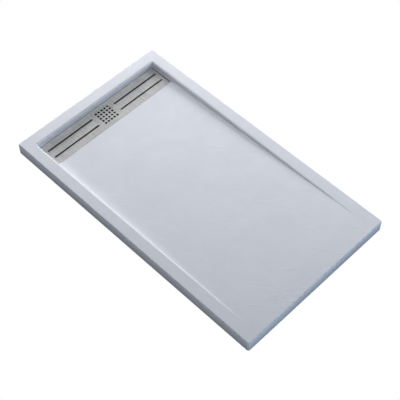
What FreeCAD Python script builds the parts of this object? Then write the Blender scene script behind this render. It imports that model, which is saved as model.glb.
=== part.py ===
import FreeCAD, Part
import math
import os

# Low shower tray, cast in one piece, with a raised rim on three sides and a floor that falls from the open
# front edge to a drain channel at the back. A slotted stainless cover lies in the channel. Under it a waste
# with a water trap is clamped through a round hole in the tray.
# Millimetres. The origin is the middle of the tray's underside; +X runs from the drain end to the open
# front edge, +Y across the tray, +Z up. The waste and the trap are on a vertical axis below the cover.

Vector = FreeCAD.Vector
UP = Vector(0, 0, 1)
ALONG = Vector(1, 0, 0)
ACROSS = Vector(0, 1, 0)

# ---- Driving dimensions ----------------------------------------------------------------------------------

# Tray casting
tray_length = 1200.0
tray_width = 700.0
tray_height = 50.0
rim_width = 50.0               # along the two sides
back_rim_width = 54.0
corner_radius = 9.0
top_edge_radius = 4.5
bottom_edge_radius = 1.5
rim_rounding_width = 10.0      # rounded inner edge of the rim, seen from above
rim_rounding_depth = 7.0
wall_draft = 3.0               # how far the inner wall leans in from its top to its foot
cove_width = 38.0              # hollow curve where the floor meets the side walls
floor_low = 24.0               # floor height at the drain channel
front_landing = 105.0          # length at the front where the floor is level with the rim
crest_blend = 70.0             # half length of the soft curve between slope and landing
sheet_rise = 0.6               # height of the basin's cutting sheet over the rim

# Drain channel
channel_inset = 1.0            # channel's back wall, inside the rim's inner edge
channel_end_inset = 4.0        # channel's end walls, inside the rim's inner edge
channel_corner_radius = 5.0
channel_middle_height = 13.0   # channel floor beside the waste
channel_end_height = 16.0      # channel floor at its two ends

# Underside
shell_thickness = 12.0
skirt_width = 30.0             # solid band round the underside
rib_width = 18.0
pocket_rows = 5
pocket_columns = 4
pocket_corner_radius = 12.0
waste_recess_margin = 13.0     # shallow recess in the underside, past the trap's flange
waste_recess_depth = 1.5

# Cover
cover_width = 108.0
cover_gap = 2.0                # along both long edges
cover_end_gap = 3.0
cover_top = 23.0
sheet_thickness = 1.5
fold_depth = 4.0
fold_radius = 1.2
slot_width = 7.2
slot_row_offset = 20.0
slot_start = 56.0              # from the middle of the cover
slot_end_margin = 12.0
hole_radius = 4.8
hole_pitch = 15.0
holes_per_side = 5

# Rails, bars and pads under the cover
bar_width = 16.0
bar_height = 3.5
bar_sheet = 1.2
cross_bar_place = 46.0         # from the middle of the cover
cross_bar_end_margin = 8.0
pad_radius = 6.0
pad_edge = 0.8
pad_margin = 2.0               # from a pad to the end of its bar
pad_seat_gap = 0.05

# Waste flange, gasket and screws
waste_hole_radius = 36.0
flange_overlap = 9.0           # how far the flange reaches past the hole
flange_seat_clearance = 2.0
flange_seat_height = 9.5       # top of the seat in the channel floor
flange_sheet = 1.5
flange_floor_height = 5.0      # top of the flange's inner floor
flange_wall_lean = 1.2
flange_hole_clearance = 0.8    # between the flange's wall and the hole in the tray
gasket_thickness = 1.5
gasket_hole_margin = 2.0       # gasket's bore, outside the hole
screw_count = 4
screw_radius = 2.0
screw_head_radius = 3.4
screw_head_height = 3.0
screw_length = 14.0
screw_recess_radius = 1.2
screw_recess_depth = 1.6
screw_clearance = 0.25
insert_radius = 3.2
insert_length = 14.0
insert_clearance = 0.05

# Trap head, bowl and dip tube
neck_hole_clearance = 1.5      # between the neck and the hole in the tray
neck_gap = 0.3                 # between the neck and the flange's floor
neck_depth = 16.0              # how far the thick neck reaches below its own top
head_overlap = 11.0            # how far the drum reaches past the hole in the tray
head_wall = 3.0
head_flange_thickness = 5.0
body_gasket_thickness = 3.0
body_gasket_hole_margin = 0.5
body_gasket_edge_margin = 2.0  # inside the drum's outer wall
head_bottom = -74.0
bowl_clearance = 0.3
bowl_wall = 3.2
bowl_collar_top = -61.0
bowl_seal_thickness = 2.5
bowl_seal_clearance = 0.3
bowl_depth = 15.5              # below the head's lower edge to the bowl's inner floor
bowl_floor_thickness = 3.0
bowl_foot_radius = 36.0
bowl_grip_count = 12
bowl_grip_radius = 1.6
bowl_grip_margin = 2.0         # from the grips to the collar's rim
dip_inner_radius = 21.2
dip_wall = 2.1
dip_clearance = 0.3            # between the tube and the throat
dip_collar_width = 1.8         # ledge of the neck that carries the collar
dip_collar_gap = 0.3           # between the collar and the flange's opening
dip_collar_top = 5.0
dip_seat_gap = 0.1
dip_bottom = -79.0
ring_section = 1.5
ring_height = -5.0
ring_running_clearance = 0.06
ring_groove_clearance = 0.05
ring_groove_margin = 0.2       # above and below the ring

# Strainer
strainer_top = 10.5
strainer_thickness = 1.5
strainer_edge = 0.5
strainer_wall_gap = 0.4
strainer_leg_radius = 2.4
strainer_leg_gap = 0.1
strainer_hole_radius = 1.9
strainer_hole_count = 8        # in the inner ring
strainer_ring_count = 4
strainer_ring_start = 10.5     # radius of the inner ring
strainer_ring_pitch = 6.0
strainer_stem_hole_radius = 2.1
knob_stem_radius = 2.0
knob_radius = 6.0
knob_edge = 1.2
knob_neck_height = 2.0
knob_head_height = 4.0
knob_foot_radius = 3.6
knob_foot_height = 1.2

# Outlet branch, union nut and elbow
outlet_height = -34.0
branch_bore_radius = 18.0
branch_radius = 24.5
branch_reach = 78.0            # from the waste's axis to the end of the branch
outlet_seal_thickness = 2.5
outlet_seal_radius = 23.6
collar_gap = 0.1
collar_radius = 23.8
collar_thickness = 4.0
nut_thread_clearance = 0.3
nut_radius = 29.0
nut_lip = 3.4
nut_grip = 16.0                # length of branch inside the nut
nut_rib_count = 12
nut_rib_radius = 1.5
nut_rib_margin = 1.0           # from the ribs to the nut's two ends
spigot_radius = 20.0
spigot_wall = 2.2
spigot_clearance = 0.6         # between the elbow and the nut's lip
elbow_bend_radius = 26.0
elbow_stub = 10.0              # straight run between the collar and the bend
spigot_length = 32.0
spigot_chamfer = 1.5

cut_margin = 1.0               # how far a cutter runs past the faces that it opens
long_margin = 10.0             # the same for the tray's large cutters

# ---- Places worked out from them -------------------------------------------------------------------------

half_length = tray_length / 2
half_width = tray_width / 2
inner_back = -half_length + back_rim_width
inner_side = half_width - rim_width
channel_width = cover_width + 2 * cover_gap
channel_back = inner_back + channel_inset
channel_front = channel_back + channel_width
channel_half_length = inner_side - channel_end_inset
cover_half_length = channel_half_length - cover_end_gap
waste_x = (channel_back + channel_front) / 2
level_start = half_length - front_landing
floor_slope = (tray_height - floor_low) / (level_start - channel_front)
sheet_underside = cover_top - sheet_thickness
flange_top = flange_seat_height + gasket_thickness + flange_sheet
flange_floor_underside = flange_floor_height - flange_sheet
flange_radius = waste_hole_radius + flange_overlap
flange_seat_radius = flange_radius + flange_seat_clearance
flange_foot_radius = waste_hole_radius - flange_hole_clearance - flange_wall_lean - flange_sheet
gasket_inner_radius = waste_hole_radius + gasket_hole_margin
dip_outer_radius = dip_inner_radius + dip_wall
throat_radius = dip_outer_radius + dip_clearance
flange_opening_radius = throat_radius + dip_collar_width
screw_circle_radius = (flange_opening_radius + flange_foot_radius) / 2
neck_top = flange_floor_underside - neck_gap
neck_radius = waste_hole_radius - neck_hole_clearance
head_top = waste_recess_depth - body_gasket_thickness
head_radius = waste_hole_radius + head_overlap
drum_inner_radius = head_radius - head_wall
body_gasket_inner_radius = waste_hole_radius + body_gasket_hole_margin
body_gasket_outer_radius = head_radius - body_gasket_edge_margin
waste_recess_radius = head_radius + waste_recess_margin
strainer_underside = strainer_top - strainer_thickness
bar_underside = sheet_underside - bar_height
made = []
os.makedirs("parts", exist_ok=True)


def floor_height(x):
    """Height of the sloping floor's straight part at x."""
    return floor_low + floor_slope * (x - channel_front)


def channel_floor_height(y):
    """Height of the channel's floor, which falls from both ends to the level part round the waste."""
    fall = channel_end_height - channel_middle_height
    run = channel_half_length - flange_seat_radius
    return channel_middle_height + fall * max(0.0, abs(y) - flange_seat_radius) / run


def write(name, shape):
    """Write one node to its own STEP file."""
    shape.exportStep("parts/" + name + ".step")
    made.append(name)
    print(name, "solids", len(shape.Solids), "valid", shape.isValid(), "volume", round(shape.Volume, 1))


def box(x0, x1, y0, y1, z0, z1):
    return Part.makeBox(x1 - x0, y1 - y0, z1 - z0, Vector(x0, y0, z0))


def rod(radius, z0, z1, x=0.0, y=0.0):
    """Upright cylinder, placed from the waste's axis."""
    return Part.makeCylinder(radius, z1 - z0, Vector(waste_x + x, y, z0), UP)


def tube(inner, outer, z0, z1):
    return rod(outer, z0, z1).cut(rod(inner, z0 - cut_margin, z1 + cut_margin))


def turned(outline):
    """Solid turned about the waste's axis from a closed outline of (radius, height) points."""
    points = [Vector(waste_x + r, 0, z) for r, z in outline]
    face = Part.Face(Part.makePolygon(points + points[:1]))
    return face.revolve(Vector(waste_x, 0, 0), UP, 360)


def side_rod(radius, x0, x1):
    """Lying cylinder on the outlet's axis, from x0 to x1 measured from the waste's axis."""
    start = Vector(waste_x + x0, 0, outlet_height)
    return Part.makeCylinder(radius, x1 - x0, start, ALONG)


def side_tube(inner, outer, x0, x1):
    return side_rod(outer, x0, x1).cut(side_rod(inner, x0 - cut_margin, x1 + cut_margin))


def upright_edges(shape):
    """The shape's straight vertical edges."""
    found = []
    for edge in shape.Edges:
        ends = [v.Point for v in edge.Vertexes]
        if len(ends) == 2 and abs(ends[0].x - ends[1].x) < 1e-6 and abs(ends[0].y - ends[1].y) < 1e-6:
            found.append(edge)
    return found


def level_edges(shape, height):
    """The shape's edges that lie wholly at one height."""
    found = []
    for edge in shape.Edges:
        bounds = edge.BoundBox
        if abs(bounds.ZMin - height) < 1e-4 and abs(bounds.ZMax - height) < 1e-4:
            found.append(edge)
    return found


def rounded_prism(x0, x1, y0, y1, z0, z1, radius):
    """Upright block with rounded corners."""
    block = box(x0, x1, y0, y1, z0, z1)
    return block.makeFillet(radius, upright_edges(block))


# ---- Tray body -------------------------------------------------------------------------------------------

def basin_surface():
    """The hollow of the basin as one smooth sheet. Round it the block's flat top stays as rim and landing.

    Two second-degree profiles are multiplied: how deep the floor lies along the tray, and what share of
    that depth it has across the tray. Each corner of a profile is rounded between the middles of its two
    legs, so the rounded edge, the wall, the cove and the floor run into each other. Outside the hollow the
    sheet rises a little above the block.
    """
    beyond = 6 * long_margin
    foot = inner_back + wall_draft
    deep = tray_height - floor_height(foot)
    along = [
        (-half_length - beyond, 0.0, sheet_rise),
        (inner_back - 2 * rim_rounding_width, 0.0, sheet_rise),
        (inner_back, 0.0, 0.0),
        (inner_back + wall_draft / 3, 2 * rim_rounding_depth, 0.0),
        (foot, deep, 0.0),
        (foot + 2 * wall_draft, deep - floor_slope * 2 * wall_draft, 0.0),
        (channel_front, tray_height - floor_low, 0.0),
        (level_start - 2 * crest_blend, floor_slope * 2 * crest_blend, 0.0),
        (level_start, 0.0, 0.0),
        (level_start + 2 * crest_blend, 0.0, sheet_rise),
        (level_start + 2 * crest_blend + beyond, 0.0, sheet_rise),
    ]
    share = 2 * rim_rounding_depth / (tray_height - floor_low)
    half = [
        (half_width + beyond, 0.0, sheet_rise),
        (inner_side + 2 * rim_rounding_width, 0.0, sheet_rise),
        (inner_side, 0.0, 0.0),
        (inner_side - wall_draft / 3, share, 0.0),
        (inner_side - wall_draft, 1.0, 0.0),
        (inner_side - wall_draft - 2 * cove_width, 1.0, 0.0),
    ]
    across = [(-y, s, r) for y, s, r in half] + half[::-1]
    poles = [[Vector(x, y, tray_height - d * s + up + r) for y, s, r in across] for x, d, up in along]
    surface = Part.BSplineSurface()
    surface.buildFromPolesMultsKnots(
        poles,
        [3] + [1] * (len(along) - 3) + [3],
        [3] + [1] * (len(across) - 3) + [3],
        list(range(len(along) - 1)),
        list(range(len(across) - 1)),
        False,
        False,
        2,
        2,
    )
    return surface


def underside_pockets():
    """Hollows between the ribs, each roofed parallel to the floor above it."""
    x_start = channel_front + shell_thickness
    x_end = half_length - skirt_width
    y_start = -half_width + skirt_width
    pocket_length = (x_end - x_start - (pocket_columns - 1) * rib_width) / pocket_columns
    pocket_width = (tray_width - 2 * skirt_width - (pocket_rows - 1) * rib_width) / pocket_rows
    roof_level = tray_height - shell_thickness
    first = x_start - long_margin
    roof = [
        (first, -long_margin),
        (first, floor_height(first) - shell_thickness),
        (level_start, roof_level),
        (half_length, roof_level),
        (half_length, -long_margin),
    ]
    points = [Vector(x, -half_width, z) for x, z in roof]
    under_roof = Part.Face(Part.makePolygon(points + points[:1])).extrude(ACROSS * tray_width)
    pockets = []
    for column in range(pocket_columns):
        for row in range(pocket_rows):
            x0 = x_start + column * (pocket_length + rib_width)
            y0 = y_start + row * (pocket_width + rib_width)
            x1 = x0 + pocket_length
            y1 = y0 + pocket_width
            pocket = rounded_prism(x0, x1, y0, y1, -cut_margin, tray_height, pocket_corner_radius)
            pockets.append(pocket.common(under_roof))
    return pockets


def channel_space():
    """The drain channel: upright walls, and a floor that falls from both ends to the waste."""
    block = rounded_prism(
        channel_back, channel_front, -channel_half_length, channel_half_length,
        0, tray_height, channel_corner_radius,
    )
    reach = channel_half_length + long_margin
    outline = [
        (-reach, channel_floor_height(reach)),
        (-flange_seat_radius, channel_middle_height),
        (flange_seat_radius, channel_middle_height),
        (reach, channel_floor_height(reach)),
        (reach, tray_height),
        (-reach, tray_height),
    ]
    points = [Vector(channel_back - long_margin, y, z) for y, z in outline]
    run = ALONG * (channel_width + 2 * long_margin)
    above_floor = Part.Face(Part.makePolygon(points + points[:1])).extrude(run)
    return block.common(above_floor)


def tray_body():
    block = rounded_prism(-half_length, half_length, -half_width, half_width, 0, tray_height, corner_radius)
    block = block.makeFillet(top_edge_radius, level_edges(block, tray_height))
    block = block.makeFillet(bottom_edge_radius, level_edges(block, 0.0))
    body = block.cut(basin_surface().toShape().extrude(UP * 2 * tray_height))
    body = body.cut(channel_space())
    body = body.cut(rod(flange_seat_radius, flange_seat_height, tray_height))
    body = body.cut(rod(waste_hole_radius, -cut_margin, tray_height))
    body = body.cut(rod(waste_recess_radius, -cut_margin, waste_recess_depth))
    return body.cut(underside_pockets())


write("tray_body", tray_body())


# ---- Cover: sheet, rails, bars and pads ------------------------------------------------------------------

def long_slot(y0, y1, x):
    """Cutter for one slot with round ends that runs across the tray."""
    radius = slot_width / 2
    low = cover_top - fold_depth - cut_margin
    high = cover_top + cut_margin
    middle = box(waste_x + x - radius, waste_x + x + radius, y0 + radius, y1 - radius, low, high)
    return middle.fuse([rod(radius, low, high, x, y0 + radius), rod(radius, low, high, x, y1 - radius)])


def grate_cover():
    """Folded sheet: a flat top with its four edges turned down, four slots and a square field of holes."""
    x0 = waste_x - cover_width / 2
    x1 = waste_x + cover_width / 2
    low = cover_top - fold_depth
    outside = rounded_prism(x0, x1, -cover_half_length, cover_half_length, low, cover_top, fold_radius)
    outside = outside.makeFillet(fold_radius, level_edges(outside, cover_top))
    inside = box(
        x0 + sheet_thickness, x1 - sheet_thickness,
        -cover_half_length + sheet_thickness, cover_half_length - sheet_thickness,
        low - cut_margin, sheet_underside,
    )
    cutters = []
    slot_end = cover_half_length - slot_end_margin
    for x in (-slot_row_offset, slot_row_offset):
        cutters.append(long_slot(slot_start, slot_end, x))
        cutters.append(long_slot(-slot_end, -slot_start, x))
    first = -(holes_per_side - 1) / 2 * hole_pitch
    for i in range(holes_per_side):
        for j in range(holes_per_side):
            x = first + i * hole_pitch
            y = first + j * hole_pitch
            cutters.append(rod(hole_radius, low - cut_margin, cover_top + cut_margin, x, y))
    return outside.cut(inside).cut(cutters)


def u_bar(x0, x1, y0, y1):
    """U section with its legs up against the sheet; it runs along its longer side."""
    block = box(x0, x1, y0, y1, bar_underside, sheet_underside)
    low = bar_underside + bar_sheet
    high = sheet_underside + cut_margin
    if x1 - x0 > y1 - y0:
        groove = box(x0 - cut_margin, x1 + cut_margin, y0 + bar_sheet, y1 - bar_sheet, low, high)
    else:
        groove = box(x0 + bar_sheet, x1 - bar_sheet, y0 - cut_margin, y1 + cut_margin, low, high)
    return block.cut(groove)


def rail_ends():
    """Where each rail starts and stops, measured from the middle of the cover."""
    return cross_bar_place + bar_width / 2, cover_half_length - slot_end_margin / 2


def grate_rails():
    start, stop = rail_ends()
    x0 = waste_x - bar_width / 2
    x1 = waste_x + bar_width / 2
    return Part.makeCompound([u_bar(x0, x1, start, stop), u_bar(x0, x1, -stop, -start)])


def grate_cross_bars():
    reach = cover_width / 2 - cross_bar_end_margin
    x0 = waste_x - reach
    x1 = waste_x + reach
    bars = []
    for side in (-1, 1):
        middle = side * cross_bar_place
        bars.append(u_bar(x0, x1, middle - bar_width / 2, middle + bar_width / 2))
    return Part.makeCompound(bars)


def grate_pads():
    """Rubber buttons that carry the bars on the sloping channel floor, so the outer ones are lower."""
    start, stop = rail_ends()
    reach = cover_width / 2 - cross_bar_end_margin - pad_radius - pad_margin
    places = [(x, side * cross_bar_place) for x in (-reach, reach) for side in (-1, 1)]
    outermost = stop - pad_radius - pad_margin
    places += [(0.0, side * y) for y in ((start + stop) / 2, outermost) for side in (-1, 1)]
    pads = []
    for x, y in places:
        foot = channel_floor_height(abs(y) + pad_radius) + pad_seat_gap
        pad = rod(pad_radius, foot, bar_underside, x, y)
        pads.append(pad.makeFillet(pad_edge, level_edges(pad, foot)))
    return Part.makeCompound(pads)


write("grate_cover", grate_cover())
write("grate_rails", grate_rails())
write("grate_cross_bars", grate_cross_bars())
write("grate_pads", grate_pads())


# ---- Waste: flange, gaskets, screws and inserts ----------------------------------------------------------

def round_the_screws():
    """Places of the screws, measured from the waste's axis."""
    places = []
    for i in range(screw_count):
        angle = 2 * math.pi * i / screw_count
        places.append((screw_circle_radius * math.cos(angle), screw_circle_radius * math.sin(angle)))
    return places


def flange_inner_radius(z):
    """Radius of the flange's leaning inner wall at a height."""
    share = (z - flange_floor_height) / (flange_top - flange_floor_height)
    return flange_foot_radius + flange_wall_lean * share


def waste_flange():
    lower = flange_top - flange_sheet
    high = flange_inner_radius(flange_top)
    foot = flange_foot_radius
    dish = turned([
        (flange_radius, lower),
        (flange_radius, flange_top),
        (high, flange_top),
        (foot, flange_floor_height),
        (flange_opening_radius, flange_floor_height),
        (flange_opening_radius, flange_floor_underside),
        (foot + flange_sheet, flange_floor_underside),
        (high + flange_sheet, lower),
    ])
    below = flange_floor_underside - cut_margin
    above = flange_floor_height + cut_margin
    holes = [rod(screw_radius + screw_clearance, below, above, x, y) for x, y in round_the_screws()]
    return dish.cut(holes)


def flange_screws():
    """Pan head screws with a star recess drawn as a small round socket."""
    screws = []
    top = flange_floor_height + screw_head_height
    for x, y in round_the_screws():
        head = rod(screw_head_radius, flange_floor_height, top, x, y)
        head = head.makeFillet(screw_head_height / 2, level_edges(head, top))
        foot = flange_floor_height - screw_length
        shank = rod(screw_radius, foot, flange_floor_height + cut_margin, x, y)
        recess = rod(screw_recess_radius, top - screw_recess_depth, top + cut_margin, x, y)
        screws.append(head.fuse(shank).cut(recess))
    return Part.makeCompound(screws)


def screw_inserts():
    inserts = []
    foot = neck_top - insert_length
    for x, y in round_the_screws():
        sleeve = rod(insert_radius, foot, neck_top, x, y)
        bore = rod(screw_radius + insert_clearance, foot - cut_margin, neck_top + cut_margin, x, y)
        inserts.append(sleeve.cut(bore))
    return Part.makeCompound(inserts)


gasket_top = flange_seat_height + gasket_thickness
write("flange_gasket", tube(gasket_inner_radius, flange_radius, flange_seat_height, gasket_top))
write("waste_flange", waste_flange())
write("flange_screws", flange_screws())
write("screw_inserts", screw_inserts())
write("body_gasket", tube(body_gasket_inner_radius, body_gasket_outer_radius, head_top, waste_recess_depth))


# ---- Trap head, with its outlet branch -------------------------------------------------------------------

def trap_head():
    """Neck inside the tray's hole, flange under the tray, drum wall and outlet branch in one moulding."""
    under_flange = head_top - head_flange_thickness
    neck_bottom = neck_top - neck_depth
    body = turned([
        (0, neck_top),
        (neck_radius, neck_top),
        (neck_radius, head_top),
        (head_radius, head_top),
        (head_radius, head_bottom),
        (0, head_bottom),
    ])
    hollow = turned([
        (0, head_bottom - cut_margin),
        (drum_inner_radius, head_bottom - cut_margin),
        (drum_inner_radius, under_flange),
        (neck_radius, under_flange),
        (neck_radius, neck_bottom),
        (0, neck_bottom),
    ])
    body = body.fuse(side_rod(branch_radius, 0, branch_reach))
    body = body.cut(hollow)
    body = body.cut(rod(throat_radius, neck_bottom - cut_margin, neck_top + cut_margin))
    body = body.cut(side_rod(branch_bore_radius, 0, branch_reach + cut_margin))
    socket_radius = insert_radius + insert_clearance
    sockets = [
        rod(socket_radius, neck_top - insert_length, neck_top + cut_margin, x, y)
        for x, y in round_the_screws()
    ]
    return body.cut(sockets)


write("trap_head", trap_head())


# ---- Trap bowl and its seal ------------------------------------------------------------------------------

def trap_bowl():
    """Cup screwed over the drum's lower end, with finger grips round its collar."""
    inner_collar = head_radius + bowl_clearance
    outer_collar = inner_collar + bowl_wall
    shoulder = head_bottom - bowl_seal_thickness
    inner_floor = head_bottom - bowl_depth
    cup = turned([
        (inner_collar, bowl_collar_top),
        (outer_collar, bowl_collar_top),
        (outer_collar, shoulder - bowl_wall),
        (bowl_foot_radius + bowl_wall, inner_floor - bowl_floor_thickness),
        (0, inner_floor - bowl_floor_thickness),
        (0, inner_floor),
        (bowl_foot_radius, inner_floor),
        (drum_inner_radius, shoulder),
        (inner_collar, shoulder),
    ])
    grips = []
    for i in range(bowl_grip_count):
        angle = 2 * math.pi * (i + 0.5) / bowl_grip_count
        x = outer_collar * math.cos(angle)
        y = outer_collar * math.sin(angle)
        grips.append(rod(bowl_grip_radius, shoulder - bowl_wall, bowl_collar_top - bowl_grip_margin, x, y))
    solid_collar = rod(inner_collar, shoulder - bowl_wall, bowl_collar_top)
    return cup.fuse([grip.cut(solid_collar) for grip in grips]).removeSplitter()


def bowl_seal():
    shoulder = head_bottom - bowl_seal_thickness
    return tube(drum_inner_radius + bowl_seal_clearance, head_radius, shoulder, head_bottom)


write("trap_bowl", trap_bowl())
write("bowl_seal", bowl_seal())


# ---- Dip tube and its ring -------------------------------------------------------------------------------

def ring_groove_radius():
    return throat_radius - ring_running_clearance - ring_section


def dip_tube():
    """Tube that hangs by its collar in the throat. It ends below the outlet and so keeps the water seal."""
    collar = flange_opening_radius - dip_collar_gap
    seat = neck_top + dip_seat_gap
    groove_floor = ring_groove_radius() - ring_groove_clearance
    groove_half = ring_section / 2 + ring_groove_margin
    return turned([
        (dip_inner_radius, dip_bottom),
        (dip_outer_radius, dip_bottom),
        (dip_outer_radius, ring_height - groove_half),
        (groove_floor, ring_height - groove_half),
        (groove_floor, ring_height + groove_half),
        (dip_outer_radius, ring_height + groove_half),
        (dip_outer_radius, seat),
        (collar, seat),
        (collar, dip_collar_top),
        (dip_inner_radius, dip_collar_top),
    ])


def dip_tube_ring():
    middle = ring_groove_radius() + ring_section / 2
    return Part.makeTorus(middle, ring_section / 2, Vector(waste_x, 0, ring_height), UP)


write("dip_tube", dip_tube())
write("dip_tube_ring", dip_tube_ring())


# ---- Hair strainer and its knob --------------------------------------------------------------------------

def hair_strainer():
    """Perforated disc on legs that stand between the screw heads; no hole is made over a leg."""
    disc_radius = flange_inner_radius(strainer_underside) - strainer_wall_gap
    disc = rod(disc_radius, strainer_underside, strainer_top)
    disc = disc.makeFillet(strainer_edge, level_edges(disc, strainer_top))
    foot = flange_floor_height + strainer_leg_gap
    legs = []
    for i in range(screw_count):
        angle = 2 * math.pi * (i + 0.5) / screw_count
        legs.append((screw_circle_radius * math.cos(angle), screw_circle_radius * math.sin(angle)))
    disc = disc.fuse([rod(strainer_leg_radius, foot, strainer_top - strainer_edge, x, y) for x, y in legs])
    low = strainer_underside - cut_margin
    high = strainer_top + cut_margin
    holes = [rod(strainer_stem_hole_radius, low, high)]
    clear_of_leg = strainer_leg_radius + strainer_hole_radius
    for ring in range(strainer_ring_count):
        radius = strainer_ring_start + ring * strainer_ring_pitch
        count = round(strainer_hole_count * radius / strainer_ring_start)
        for i in range(count):
            angle = 2 * math.pi * i / count
            x = radius * math.cos(angle)
            y = radius * math.sin(angle)
            if all(math.hypot(x - leg_x, y - leg_y) > clear_of_leg for leg_x, leg_y in legs):
                holes.append(rod(strainer_hole_radius, low, high, x, y))
    return disc.cut(holes)


def strainer_knob():
    """Turned knob whose stem passes through the disc and is riveted over under it."""
    neck = strainer_top + knob_neck_height
    knob_top = neck + knob_head_height
    knob = rod(knob_radius, neck, knob_top)
    knob = knob.makeFillet(knob_edge, level_edges(knob, neck) + level_edges(knob, knob_top))
    foot = rod(knob_foot_radius, strainer_underside - knob_foot_height, strainer_underside)
    stem = rod(knob_stem_radius, strainer_underside - knob_foot_height, neck + knob_edge)
    return knob.fuse([stem, foot])


write("hair_strainer", hair_strainer())
write("strainer_knob", strainer_knob())


# ---- Outlet: seal, union nut and elbow -------------------------------------------------------------------

seal_end = branch_reach + outlet_seal_thickness
collar_start = seal_end + collar_gap
collar_end = collar_start + collar_thickness
lip_start = collar_end + collar_gap


def outlet_nut():
    """Union nut that draws the elbow's collar against the branch; it has round grip ribs."""
    start = branch_reach - nut_grip
    end = lip_start + nut_lip
    body = side_rod(nut_radius, start, end)
    ribs = []
    for i in range(nut_rib_count):
        angle = 2 * math.pi * (i + 0.5) / nut_rib_count
        y = nut_radius * math.cos(angle)
        z = outlet_height + nut_radius * math.sin(angle)
        place = Vector(waste_x + start + nut_rib_margin, y, z)
        ribs.append(Part.makeCylinder(nut_rib_radius, end - start - 2 * nut_rib_margin, place, ALONG))
    body = body.fuse(ribs)
    body = body.cut(side_rod(branch_radius + nut_thread_clearance, start - cut_margin, lip_start))
    return body.cut(side_rod(spigot_radius + spigot_clearance, start, end + cut_margin))


def pipe_path(radius):
    """Pipe of one radius along the elbow: a stub, a quarter bend and the spigot across the tray."""
    bend_start = collar_end + elbow_stub
    stub = side_rod(radius, collar_start, bend_start)
    circle = Part.Wire(Part.makeCircle(radius, Vector(waste_x + bend_start, 0, outlet_height), ALONG))
    centre = Vector(waste_x + bend_start, -elbow_bend_radius, outlet_height)
    bend = Part.Face(circle).revolve(centre, UP, -90)
    start = Vector(waste_x + bend_start + elbow_bend_radius, -elbow_bend_radius, outlet_height)
    spigot = Part.makeCylinder(radius, spigot_length, start, ACROSS * -1)
    return stub, bend, spigot


def outlet_elbow():
    outer = pipe_path(spigot_radius)
    inner = pipe_path(spigot_radius - spigot_wall)
    body = outer[0].fuse([outer[1], outer[2], side_rod(collar_radius, collar_start, collar_end)])
    for space in inner:
        body = body.cut(space)
    body = body.removeSplitter()
    tip = -elbow_bend_radius - spigot_length
    mouth = []
    for edge in body.Edges:
        bounds = edge.BoundBox
        if abs(bounds.YMax - tip) < 1e-4 and bounds.ZLength > 2 * spigot_radius - 0.01:
            mouth.append(edge)
    return body.makeChamfer(spigot_chamfer, mouth)


write("outlet_nut", outlet_nut())
write("outlet_seal", side_tube(branch_bore_radius, outlet_seal_radius, branch_reach, seal_end))
write("outlet_elbow", outlet_elbow())
print("nodes", len(made))
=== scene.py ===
import math
import bpy
from mathutils import Matrix, Vector


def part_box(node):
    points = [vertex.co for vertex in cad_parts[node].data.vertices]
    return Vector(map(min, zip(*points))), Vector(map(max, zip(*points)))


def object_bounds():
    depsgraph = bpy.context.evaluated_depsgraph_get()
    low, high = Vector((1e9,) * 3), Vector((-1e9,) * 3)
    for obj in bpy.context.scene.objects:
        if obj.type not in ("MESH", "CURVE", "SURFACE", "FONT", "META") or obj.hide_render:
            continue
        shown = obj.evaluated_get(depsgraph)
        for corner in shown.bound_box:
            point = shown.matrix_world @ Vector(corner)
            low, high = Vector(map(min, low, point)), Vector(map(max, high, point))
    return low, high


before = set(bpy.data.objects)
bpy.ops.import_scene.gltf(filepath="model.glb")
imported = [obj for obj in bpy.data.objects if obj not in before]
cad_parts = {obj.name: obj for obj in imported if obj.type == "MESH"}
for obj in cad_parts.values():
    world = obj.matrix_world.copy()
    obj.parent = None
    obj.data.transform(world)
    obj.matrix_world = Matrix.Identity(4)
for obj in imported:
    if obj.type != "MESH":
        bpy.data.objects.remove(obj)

cad_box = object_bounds()


# ---- Camera ----------------------------------------------------------------------------------------------
# The photograph looks down on the tray from beyond its open front left corner, with the drain end at the
# back. The eye is found from the point aimed at, the distance, and the line of sight's angles and roll.

aim = Vector((0.0456, -0.0217, 0.0))
eye_distance = 3.8111
eye_azimuth = math.radians(44.5626)
eye_elevation = math.radians(54.3473)
eye_roll = math.radians(0.3418)
sensor_width = 36.0                # in millimetres, as the lens is
lens_length = 92.8679
sight_limit = 50.0                 # in metres

towards_eye = Vector((
    math.sin(eye_azimuth) * math.cos(eye_elevation),
    -math.cos(eye_azimuth) * math.cos(eye_elevation),
    math.sin(eye_elevation),
))
camera_data = bpy.data.cameras.new("camera")
camera_data.sensor_width = sensor_width
camera_data.lens = lens_length
camera_data.clip_end = sight_limit
camera = bpy.data.objects.new("camera", camera_data)
bpy.context.scene.collection.objects.link(camera)
camera.matrix_world = (
    Matrix.Translation(aim + towards_eye * eye_distance)
    @ towards_eye.to_track_quat("Z", "Y").to_matrix().to_4x4()
    @ Matrix.Rotation(eye_roll, 4, "Z")
)
bpy.context.scene.camera = camera
bpy.context.scene.view_settings.view_transform = "Standard"


# ---- Tray ------------------------------------------------------------------------------------------------
# One casting of polyester resin and stone flour. What shows has a cool white gel coat, matt and finely
# grained, with a low slate-like relief on the floor; painted shade darkens the outer sides towards their
# foot. The ribbed underside is left bare and dark grey, and the channel under the cover is painted the same
# dark grey as shade.

resin_light = (0.830, 0.850, 0.922, 1.0)
resin_shade = (0.785, 0.808, 0.887, 1.0)
resin_gloss = (0.54, 0.68)         # roughness, from the smoothest patches to the roughest
# dark grey of the bare underside, also painted into the channel under the cover as shade
bare_and_shade_light = (0.135, 0.135, 0.138, 1.0)
bare_and_shade_dark = (0.085, 0.085, 0.090, 1.0)
# painted shade that darkens the foot of the outer sides
foot_shade = (0.400, 0.415, 0.455, 1.0)
foot_shade_share = 0.60             # how much of the painted shade shows at the very foot
foot_height = 0.040                # how far up the outer sides the painted shade reaches
foot_reach = 0.040                 # how far in from the outer faces the painted shade reaches

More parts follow.
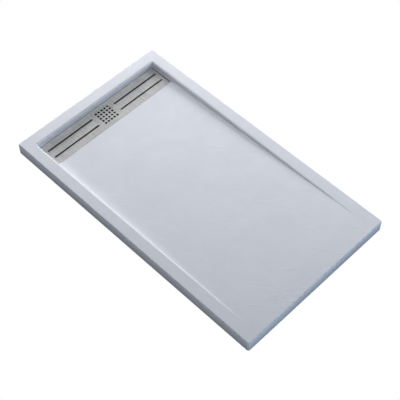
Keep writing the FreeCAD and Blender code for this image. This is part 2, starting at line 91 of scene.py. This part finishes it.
rim_width = 0.050
skirt_width = 0.0285               # band inside the outer faces where the casting is solid
shade_start_depth = 0.0035                # how far below the floor's level the painted channel shade begins
floor_low = 0.024                  # the floor's height at the drain channel
floor_start = -0.433               # where it leaves the channel, and where it reaches the rim's height
floor_end = 0.495
underside_slope = -0.3             # a face that looks down by more than this is part of the underside

grains_per_metre = 1100.0
patches_per_grain = 0.012          # a patch of shade or gloss is about eighty grains wide
patch_levels = (0.32, 0.68)        # noise between these levels is drawn out to the full range
grain_height = 0.00004
ledges_per_metre = 9.0             # the slate relief has broad ledges, with smaller steps on them
steps_per_metre = 26.0
step_share = 0.35
slate_height = 0.00022
relief_fade = 0.030                # how softly the relief dies out towards the rim
mark_turns = (0.55, 0.78, 1.05)    # the ways that long marks run over the floor, in radians
mark_length = 0.16
mark_width = 0.026
mark_level = 0.5                   # a mark follows the line where its waves pass this level
mark_crest = 0.045                 # and is raised as far as they stay this near to it
clump_scale = 0.7                  # the marks lie in clumps, somewhat longer and wider than a mark
clump_levels = (0.54, 0.68)        # and fade in between these levels of the clumps
mark_height = 0.00021


def fill(tree, sockets, values):
    """Set each socket to its number, or join it to the output that its value is."""
    for socket, value in zip(sockets, values):
        if isinstance(value, bpy.types.NodeSocket):
            tree.links.new(value, socket)
        else:
            socket.default_value = value


def add_node(tree, kind, settings=None, **inputs):
    """A shader node with its settings, and with values or other nodes' outputs in its named inputs."""
    node = tree.nodes.new(kind)
    for name, value in (settings or {}).items():
        setattr(node, name, value)
    fill(tree, [node.inputs[name.replace("_", " ")] for name in inputs], inputs.values())
    return node


def calculate(tree, operation, *values):
    """The output of one step of arithmetic on sockets or numbers."""
    node = add_node(tree, "ShaderNodeMath", {"operation": operation})
    fill(tree, node.inputs, values)
    return node.outputs[0]


def weighed_sum(tree, *pairs):
    """The sum of some values, each times its own weight."""
    total = 0.0
    for value, weight in pairs:
        total = calculate(tree, "MULTIPLY_ADD", value, weight, total)
    return total


def spread(tree, value, low, high, new_low=0.0, new_high=1.0):
    """A value moved from one range to another, with its ends clipped."""
    node = add_node(tree, "ShaderNodeMapRange", Value=value, From_Min=low, From_Max=high,
                    To_Min=new_low, To_Max=new_high)
    return node.outputs[0]


def between(tree, share, first, last):
    """The number between two numbers that a share from 0 to 1 picks."""
    return spread(tree, share, 0.0, 1.0, first, last)


def blend_colours(tree, share, first, second):
    """The colour between two colours that a share from 0 to 1 picks."""
    node = add_node(tree, "ShaderNodeMix", {"data_type": "RGBA"})
    # a mixing node keeps its share and its two colours in these inputs, and its colour in this output
    fill(tree, [node.inputs[index] for index in (0, 6, 7)], (share, first, second))
    return node.outputs[2]


def split(tree, vector):
    """The X, Y and Z of a vector, each by itself."""
    return add_node(tree, "ShaderNodeSeparateXYZ", Vector=vector).outputs


def depth_within(tree, place, low, high):
    """How far a place lies inside a band that runs from low to high. It is below nought outside the band."""
    from_middle = calculate(tree, "ABSOLUTE", calculate(tree, "SUBTRACT", place, (low + high) / 2))
    return calculate(tree, "SUBTRACT", (high - low) / 2, from_middle)


def inside_outline(tree, at, low, high):
    """How far a place lies inside the outline that a piece has from above."""
    return calculate(tree, "MINIMUM", depth_within(tree, at["X"], low.x, high.x),
                     depth_within(tree, at["Y"], low.y, high.y))


def effect(name, inputs, outputs):
    """An empty node group for an effect that several materials use. It returns the group, its inputs and a
    function that joins a value to one of its outputs."""
    group = bpy.data.node_groups.new(name, "ShaderNodeTree")
    for label, kind, value in inputs:
        socket = group.interface.new_socket(label, in_out="INPUT", socket_type=kind)
        socket.default_value = value
    for label, kind in outputs:
        group.interface.new_socket(label, in_out="OUTPUT", socket_type=kind)
    start = group.nodes.new("NodeGroupInput")
    end = group.nodes.new("NodeGroupOutput")

    def give(label, value):
        group.links.new(value, end.inputs[label])

    return group, start.outputs, give


def use_effect(tree, group, **inputs):
    """The outputs of an effect placed in a material with its own values."""
    return add_node(tree, "ShaderNodeGroup", {"node_tree": group}, **inputs).outputs


def finish_of(name, **inputs):
    """A material with one main shader. Its plain numbers are given here, and its varying ones are joined."""
    material = bpy.data.materials.new(name)
    material.use_nodes = True
    tree = material.node_tree
    shader = tree.nodes["Principled BSDF"]
    for label, value in inputs.items():
        shader.inputs[label.replace("_", " ")].default_value = value
    place = tree.nodes.new("ShaderNodeTexCoord").outputs["Object"]
    return material, tree, shader, place


def join(tree, shader, **outputs):
    """Join varying values to the main shader's inputs."""
    for label, value in outputs.items():
        tree.links.new(value, shader.inputs[label.replace("_", " ")])


def bumped(tree, height, depth):
    """The normal of a surface with a relief of this depth in metres."""
    return add_node(tree, "ShaderNodeBump", Height=height, Distance=depth, Strength=1.0).outputs[0]


def cover_with(material, *names):
    """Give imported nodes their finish."""
    for name in names:
        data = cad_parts[name].data
        data.materials.clear()
        data.materials.append(material)


fine_grain, given, give = effect(
    "fine grain",
    [("Place", "NodeSocketVector", (0, 0, 0)), ("Grains per metre", "NodeSocketFloat", grains_per_metre)],
    [("Grain", "NodeSocketFloat"), ("Patches", "NodeSocketFloat")],
)
grains = add_node(fine_grain, "ShaderNodeTexNoise", Vector=given["Place"], Scale=given["Grains per metre"],
                  Detail=3.0, Roughness=0.6)
patches = add_node(fine_grain, "ShaderNodeTexNoise", Vector=given["Place"],
                   Scale=calculate(fine_grain, "MULTIPLY", given["Grains per metre"], patches_per_grain),
                   Detail=6.0, Roughness=0.62)
give("Grain", grains.outputs[0])
give("Patches", spread(fine_grain, patches.outputs[0], *patch_levels))

tray_low, tray_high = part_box("tray_body")
resin, tree, shader, place = finish_of("cast resin", Specular_IOR_Level=0.5)
at = split(tree, place)
grain = use_effect(tree, fine_grain, Place=place, Grains_per_metre=grains_per_metre)
ledges = add_node(tree, "ShaderNodeTexNoise", Vector=place, Scale=ledges_per_metre, Detail=9.0,
                  Roughness=0.58, Distortion=1.4)
steps = add_node(tree, "ShaderNodeTexVoronoi", {"feature": "SMOOTH_F1"}, Vector=place,
                 Scale=steps_per_metre, Randomness=1.0, Smoothness=0.35)
ledges_and_steps = weighed_sum(tree, (ledges.outputs[0], 1.0), (steps.outputs[0], step_share))
long_marks = 0.0
for turn in mark_turns:
    # each set of marks is turned and drawn out one way, and shifted so that no two sets lie alike
    drawn_out = add_node(tree, "ShaderNodeMapping", {"vector_type": "TEXTURE"}, Vector=place,
                         Rotation=(0.0, 0.0, turn), Scale=(mark_length, mark_width, mark_length),
                         Location=(turn, 0.0, 0.0)).outputs[0]
    waves = add_node(tree, "ShaderNodeTexNoise", Vector=drawn_out, Scale=1.0, Detail=3.0, Roughness=0.45,
                     Distortion=0.4)
    from_crest = calculate(tree, "ABSOLUTE", calculate(tree, "SUBTRACT", waves.outputs[0], mark_level))
    crest = spread(tree, from_crest, 0.0, mark_crest, 1.0, 0.0)
    clumps = add_node(tree, "ShaderNodeTexNoise", Vector=drawn_out, Scale=clump_scale, Detail=1.0)
    crest = calculate(tree, "MULTIPLY", crest, spread(tree, clumps.outputs[0], *clump_levels))
    long_marks = calculate(tree, "MAXIMUM", long_marks, crest)
slate = weighed_sum(tree, (ledges_and_steps, slate_height), (long_marks, mark_height))
to_side = depth_within(tree, at["Y"], tray_low.y + rim_width, tray_high.y - rim_width)
on_floor = spread(tree, to_side, 0.0, relief_fade)
height = weighed_sum(tree, (slate, on_floor), (grain["Grain"], grain_height))

inset = inside_outline(tree, at, tray_low, tray_high)
floor_here = spread(tree, at["X"], floor_start, floor_end, floor_low, tray_high.z)
# below the floor's level and inside the skirt, the channel is painted dark as shade; faces that look down are
# the bare underside
below_floor_shade = calculate(tree, "LESS_THAN", calculate(tree, "ADD", at["Z"], shade_start_depth), floor_here)
past_skirt = calculate(tree, "GREATER_THAN", inset, skirt_width)
facing = split(tree, add_node(tree, "ShaderNodeNewGeometry").outputs["Normal"])
bare_and_shade = calculate(tree, "MAXIMUM", calculate(tree, "MULTIPLY", below_floor_shade, past_skirt),
                 calculate(tree, "LESS_THAN", facing["Z"], underside_slope))
# painted shade: the outer sides darken towards their foot
painted_foot_shade = calculate(tree, "MULTIPLY", spread(tree, at["Z"], 0.0, foot_height, foot_shade_share, 0.0),
                    calculate(tree, "LESS_THAN", inset, foot_reach))
full_coat = blend_colours(tree, grain["Patches"], resin_shade, resin_light)
coat_with_foot_shade = blend_colours(tree, painted_foot_shade, full_coat, foot_shade)
bare_and_shade_colour = blend_colours(tree, grain["Grain"], bare_and_shade_dark, bare_and_shade_light)
join(
    tree, shader,
    Base_Color=blend_colours(tree, bare_and_shade, coat_with_foot_shade, bare_and_shade_colour),
    Roughness=between(tree, grain["Patches"], *resin_gloss),
    Normal=bumped(tree, height, 1.0),
)
cover_with(resin, "tray_body")


# ---- Trap head, bowl, union nut, elbow and dip tube ------------------------------------------------------
# The water trap hangs under the tray. Its head, bowl, nut and elbow are injection mouldings of white
# polypropylene: satin, a little waxy, with faint flow marks. The dip tube in it is a grey moulding.

plastic_white = (0.80, 0.80, 0.775, 1.0)
plastic_white_aged = (0.745, 0.745, 0.71, 1.0)
plastic_grey = (0.335, 0.345, 0.355, 1.0)
plastic_grey_aged = (0.285, 0.295, 0.305, 1.0)
plastic_gloss = (0.40, 0.30)       # roughness, from the aged patches to the fresh ones
skin_per_metre = 650.0
skin_height = 0.00003
flow_marks_per_metre = 38.0
flow_levels = (0.3, 0.7)

moulded_skin, given, give = effect(
    "moulded skin",
    [("Place", "NodeSocketVector", (0, 0, 0))],
    [("Skin", "NodeSocketFloat"), ("Flow", "NodeSocketFloat")],
)
skin = add_node(moulded_skin, "ShaderNodeTexNoise", Vector=given["Place"], Scale=skin_per_metre, Detail=2.0)
flow = add_node(moulded_skin, "ShaderNodeTexNoise", Vector=given["Place"], Scale=flow_marks_per_metre,
                Detail=5.0, Distortion=1.1)
give("Skin", skin.outputs[0])
give("Flow", spread(moulded_skin, flow.outputs[0], *flow_levels))


def moulded(name, colour, aged_colour):
    """A satin moulded plastic."""
    material, tree, shader, place = finish_of(name, Specular_IOR_Level=0.5)
    marks = use_effect(tree, moulded_skin, Place=place)
    join(
        tree, shader,
        Base_Color=blend_colours(tree, marks["Flow"], aged_colour, colour),
        Roughness=between(tree, marks["Flow"], *plastic_gloss),
        Normal=bumped(tree, marks["Skin"], skin_height),
    )
    return material


cover_with(moulded("white moulding", plastic_white, plastic_white_aged),
           "trap_head", "trap_bowl", "outlet_nut", "outlet_elbow")
cover_with(moulded("grey moulding", plastic_grey, plastic_grey_aged), "dip_tube")


# ---- Gaskets, seals, ring and pads -----------------------------------------------------------------------
# Soft black rubber: flat gaskets cut from sheet, the moulded ring of the dip tube, and the small buttons
# that carry the cover. The rubber is matt, with a powdery bloom in patches.

rubber_black = (0.020, 0.020, 0.021, 1.0)
rubber_bloom = (0.052, 0.052, 0.054, 1.0)
rubber_gloss = (0.62, 0.84)
rubber_grains = 2600.0             # per metre
rubber_grain_height = 0.00006

rubber, tree, shader, place = finish_of("black rubber", Specular_IOR_Level=0.35)
grain = use_effect(tree, fine_grain, Place=place, Grains_per_metre=rubber_grains)
join(
    tree, shader,
    Base_Color=blend_colours(tree, grain["Patches"], rubber_black, rubber_bloom),
    Roughness=between(tree, grain["Patches"], *rubber_gloss),
    Normal=bumped(tree, grain["Grain"], rubber_grain_height),
)
cover_with(rubber, "flange_gasket", "body_gasket", "bowl_seal", "outlet_seal", "dip_tube_ring", "grate_pads")


# ---- Screw inserts ---------------------------------------------------------------------------------------
# Four turned brass sleeves take the flange's screws. They are moulded into the neck of the trap head, which
# stands in the tray's hole.

brass_dark = (0.56, 0.39, 0.16, 1.0)
brass_bright = (0.74, 0.55, 0.25, 1.0)
brass_gloss = (0.24, 0.42)
brass_grains = 2400.0              # per metre
brass_grain_height = 0.00002

brass, tree, shader, place = finish_of("turned brass", Metallic=1.0)
grain = use_effect(tree, fine_grain, Place=place, Grains_per_metre=brass_grains)
join(
    tree, shader,
    Base_Color=blend_colours(tree, grain["Patches"], brass_dark, brass_bright),
    Roughness=between(tree, grain["Patches"], *brass_gloss),
    Normal=bumped(tree, grain["Grain"], brass_grain_height),
)
cover_with(brass, "screw_inserts")


# ---- Flange and its screws -------------------------------------------------------------------------------
# The flange is pressed from stainless sheet and polished in rings round the waste. Four pan head screws
# draw it down onto its gasket and hold the trap under the tray.

steel_bright = (0.66, 0.655, 0.645, 1.0)
steel_dull = (0.54, 0.535, 0.53, 1.0)
flange_gloss = (0.16, 0.28)
screw_gloss = (0.20, 0.34)
polish_rings = 2500.0              # per metre, counted outwards
polish_ring_height = 0.00002
polish_smears = 70.0               # per metre
smear_levels = (0.3, 0.7)
waste_low, waste_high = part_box("waste_flange")
waste_axis = (waste_low + waste_high) / 2


def calculate_vector(tree, operation, *values):
    """The outputs of one step of arithmetic on vectors."""
    node = add_node(tree, "ShaderNodeVectorMath", {"operation": operation})
    fill(tree, node.inputs, values)
    return node.outputs


turned_rings, given, give = effect(
    "turned rings",
    [("Place", "NodeSocketVector", (0, 0, 0)), ("Centre", "NodeSocketVector", (0, 0, 0)),
     ("Rings per metre", "NodeSocketFloat", polish_rings)],
    [("Rings", "NodeSocketFloat"), ("Dullness", "NodeSocketFloat")],
)
from_axis = calculate_vector(turned_rings, "SUBTRACT", given["Place"], given["Centre"])["Vector"]
level = calculate_vector(turned_rings, "MULTIPLY", from_axis, (1.0, 1.0, 0.0))["Vector"]
radius = calculate_vector(turned_rings, "LENGTH", level)["Value"]
ring_count = calculate(turned_rings, "MULTIPLY", radius, given["Rings per metre"])
rings = add_node(turned_rings, "ShaderNodeTexNoise", {"noise_dimensions": "1D"}, W=ring_count, Scale=1.0,
                 Detail=3.0)
smears = add_node(turned_rings, "ShaderNodeTexNoise", Vector=given["Place"], Scale=polish_smears, Detail=4.0)
give("Rings", rings.outputs[0])
give("Dullness", spread(turned_rings, smears.outputs[0], *smear_levels))


def ringed_metal(name, bright, dull, gloss, rings_per_metre, depth):
    """A metal with turned or polished rings round the waste's axis."""
    material, tree, shader, place = finish_of(name, Metallic=1.0)
    marks = use_effect(tree, turned_rings, Place=place, Centre=waste_axis, Rings_per_metre=rings_per_metre)
    join(
        tree, shader,
        Base_Color=blend_colours(tree, marks["Dullness"], bright, dull),
        Roughness=between(tree, marks["Dullness"], *gloss),
        Normal=bumped(tree, marks["Rings"], depth),
    )
    return material


for name, gloss, piece in (
    ("polished flange", flange_gloss, "waste_flange"),
    ("screw steel", screw_gloss, "flange_screws"),
):
    cover_with(ringed_metal(name, steel_bright, steel_dull, gloss, polish_rings, polish_ring_height), piece)


# ---- Strainer --------------------------------------------------------------------------------------------
# A disc with rings of small holes on four short legs, moulded in black plastic. It stands loose in the
# flange, between the screw heads, and catches hair.

plastic_black = (0.030, 0.030, 0.032, 1.0)
plastic_black_aged = (0.060, 0.060, 0.062, 1.0)

cover_with(moulded("black moulding", plastic_black, plastic_black_aged), "hair_strainer")


# ---- Strainer knob ---------------------------------------------------------------------------------------
# A small turned knob, chromed, by which the strainer is lifted out to be cleaned. Its stem goes through the
# disc and is riveted over below.

chrome_bright = (0.78, 0.79, 0.80, 1.0)
chrome_dull = (0.70, 0.71, 0.72, 1.0)
chrome_gloss = (0.05, 0.13)
knob_rings = 4000.0                # per metre, counted outwards
knob_ring_height = 0.000004

cover_with(ringed_metal("chromed knob", chrome_bright, chrome_dull, chrome_gloss, knob_rings,
                        knob_ring_height), "strainer_knob")


# ---- Cover -----------------------------------------------------------------------------------------------
# The cover is folded from 1.5 mm stainless sheet, with laser-cut slots and a square field of holes. Its top
# is brushed across, from the back wall towards the front. Its cut edges keep a dark scorch, and they and its
# underside are painted near black, as shade in the slots and holes.
# The U bars under it are plain mill-finished strip.

brush_pitch = 2200.0               # lines per metre, counted along the cover
brush_run = 60.0                   # the same along a line, so each is many times longer than wide
streak_scale = 0.30                # broader streaks in the brushing, against its lines
streak_levels = (0.34, 0.66)
smears_per_metre = 22.0
streak_share = 0.7                 # how much of the unevenness is streaks; the rest is smears
cover_bright = (0.80, 0.80, 0.80, 1.0)
cover_dull = (0.44, 0.44, 0.44, 1.0)
cover_gloss = (0.52, 0.62)
cover_metal = 0.35                 # the fine scratches scatter much of the light, as a dull surface does
cover_line_height = 0.00004
line_stretch = 0.4                 # how much the lines draw a reflection out across them
# near black: a scorch on the cut edges, and painted shade there and on the underside
scorch_and_shade = (0.030, 0.028, 0.027, 1.0)
fold_reach = 0.003                 # how far in from its outline the cover's folds reach
cut_slope = 0.5                    # a face that looks up by less than this is a cut edge or the inside
strip_grain = (600.0, 600.0, 600.0)
strip_gloss = (0.30, 0.44)
strip_grain_height = 0.00002

brushed, given, give = effect(
    "brushed lines",
    [("Place", "NodeSocketVector", (0, 0, 0)), ("Stretch", "NodeSocketVector", (1, 1, 1))],
    [("Lines", "NodeSocketFloat"), ("Streaks", "NodeSocketFloat"), ("Smears", "NodeSocketFloat")],
)
stretched = calculate_vector(brushed, "MULTIPLY", given["Place"], given["Stretch"])["Vector"]
lines = add_node(brushed, "ShaderNodeTexNoise", Vector=stretched, Scale=1.0, Detail=4.0, Roughness=0.7)
streaks = add_node(brushed, "ShaderNodeTexNoise", Vector=stretched, Scale=streak_scale, Detail=3.0,
                   Roughness=0.7)
smears = add_node(brushed, "ShaderNodeTexNoise", Vector=given["Place"], Scale=smears_per_metre, Detail=4.0)
give("Lines", lines.outputs[0])
give("Streaks", spread(brushed, streaks.outputs[0], *streak_levels))
give("Smears", spread(brushed, smears.outputs[0], *smear_levels))


def brushed_steel(name, stretch, bright, dull, gloss, depth):
    """Stainless steel brushed one way; the stretch says how many lines lie in a metre each way. It returns
    what a finish does, so that more can be joined to it."""
    material, tree, shader, place = finish_of(name, Metallic=1.0)
    marks = use_effect(tree, brushed, Place=place, Stretch=stretch)
    uneven = weighed_sum(tree, (marks["Streaks"], streak_share), (marks["Smears"], 1.0 - streak_share))
    join(
        tree, shader,
        Base_Color=blend_colours(tree, uneven, bright, dull),
        Roughness=between(tree, uneven, *gloss),
        Normal=bumped(tree, marks["Lines"], depth),
    )
    return material, tree, shader, place


cover_low, cover_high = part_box("grate_cover")
brushed_cover, tree, shader, place = brushed_steel(
    "brushed cover", (brush_run, brush_pitch, brush_pitch), cover_bright, cover_dull, cover_gloss,
    cover_line_height,
)
shader.inputs["Anisotropic"].default_value = line_stretch
shader.inputs["Metallic"].default_value = cover_metal
across_lines = add_node(tree, "ShaderNodeTangent", {"direction_type": "RADIAL", "axis": "X"}).outputs[0]
facing = split(tree, add_node(tree, "ShaderNodeNewGeometry").outputs["True Normal"])
from_edge = inside_outline(tree, split(tree, place), cover_low, cover_high)
# the cut edges and the underside are painted near black, partly scorch and partly shade
scorch_and_shade_faces = calculate(tree, "MULTIPLY", calculate(tree, "GREATER_THAN", from_edge, fold_reach),
                   calculate(tree, "LESS_THAN", facing["Z"], cut_slope))
steel_colour = shader.inputs["Base Color"].links[0].from_socket
join(tree, shader, Tangent=across_lines, Base_Color=blend_colours(tree, scorch_and_shade_faces, steel_colour, scorch_and_shade))
cover_with(brushed_cover, "grate_cover")

mill_strip, *_ = brushed_steel("mill strip", strip_grain, steel_bright, steel_dull, strip_gloss,
                               strip_grain_height)
cover_with(mill_strip, "grate_rails", "grate_cross_bars")


# ---- Floor, room and lights ------------------------------------------------------------------------------
# The photograph has a plain white ground with no shadow on it. So the floor and the room look white to the
# eye, whatever light they give. The floor gives a cool glow that dies out beside the tray, the room gives
# none, and five soft square lights stand round the tray.

room_size = 12.0
floor_drop = 0.0005                # gap between the trap and the floor
plain_light = (1.0, 1.0, 1.0)
plain_white = (*plain_light, 1.0)
ground_tint = (0.876, 0.918, 1.0, 1.0)
ground_glow = 0.80
ground_near = 0.0                  # the floor's glow right beside the tray
ground_shade_reach = 0.30          # how far from the tray it reaches its full glow
room_glow = 0.0
soft_lights = {
    # direction from the tray, distance, side of the square, power, colour
    "overhead light": (Vector((0.0, 0.0, 1.0)), 2.5, 2.0, 20.3, plain_light),
    "corner light": (Vector((-0.9, 0.9, 0.46)), 2.5, 1.2, 9.8, plain_light),
    "right light": (Vector((0.0, 1.0, 0.48)), 2.5, 1.6, 30.5, plain_light),
    "back light": (Vector((-1.0, 0.2, 0.2)), 2.5, 1.2, 55.0, plain_light),
    "front light": (Vector((1.0, 0.0, 0.3)), 2.6, 1.6, 12.0, (0.50, 0.77, 1.0)),
}


def white_to_the_eye(tree, shader_kind, output_kind, tint, strength):
    """A glow that the eye sees as plain white, while everything else gets it at its own strength."""
    seen = add_node(tree, "ShaderNodeLightPath").outputs["Is Camera Ray"]
    own_glow = add_node(tree, shader_kind, Color=tint, Strength=strength).outputs[0]
    white_glow = add_node(tree, shader_kind, Color=plain_white, Strength=1.0).outputs[0]
    choice = tree.nodes.new("ShaderNodeMixShader")
    fill(tree, choice.inputs, (seen, own_glow, white_glow))
    tree.links.new(choice.outputs[0], tree.nodes.new(output_kind).inputs[0])


ground = bpy.data.materials.new("white ground")
ground.use_nodes = True
tree = ground.node_tree
tree.nodes.clear()
at = split(tree, add_node(tree, "ShaderNodeTexCoord").outputs["Object"])
# the straight distance from the tray's outline to a place on the floor
past_tray = [
    calculate(tree, "MINIMUM", depth_within(tree, at[way], low, high), 0.0)
    for way, low, high in (("X", tray_low.x, tray_high.x), ("Y", tray_low.y, tray_high.y))
]
gap = calculate(tree, "SQRT", weighed_sum(tree, *zip(past_tray, past_tray)))
white_to_the_eye(tree, "ShaderNodeEmission", "ShaderNodeOutputMaterial", ground_tint,
                 spread(tree, gap, 0.0, ground_shade_reach, ground_near, ground_glow))

floor_mesh = bpy.data.meshes.new("floor")
half_room = room_size / 2
ground_level = cad_box[0][2] - floor_drop
corners = ((-1, -1), (1, -1), (1, 1), (-1, 1))
floor_mesh.from_pydata([(x * half_room, y * half_room, ground_level) for x, y in corners], [], [(0, 1, 2, 3)])
floor_mesh.materials.append(ground)
floor = bpy.data.objects.new("floor", floor_mesh)
bpy.context.scene.collection.objects.link(floor)

room = bpy.data.worlds.new("room")
room.use_nodes = True
room.node_tree.nodes.clear()
white_to_the_eye(room.node_tree, "ShaderNodeBackground", "ShaderNodeOutputWorld", plain_white, room_glow)
bpy.context.scene.world = room

for name, (direction, distance, side, power, colour) in soft_lights.items():
    data = bpy.data.lights.new(name, "AREA")
    data.shape = "SQUARE"
    data.size = side
    data.energy = power
    data.color = colour
    lamp = bpy.data.objects.new(name, data)
    bpy.context.scene.collection.objects.link(lamp)
    lamp.location = direction.normalized() * distance
    lamp.rotation_euler = direction.to_track_quat("Z", "Y").to_euler()
    lamp.visible_camera = False
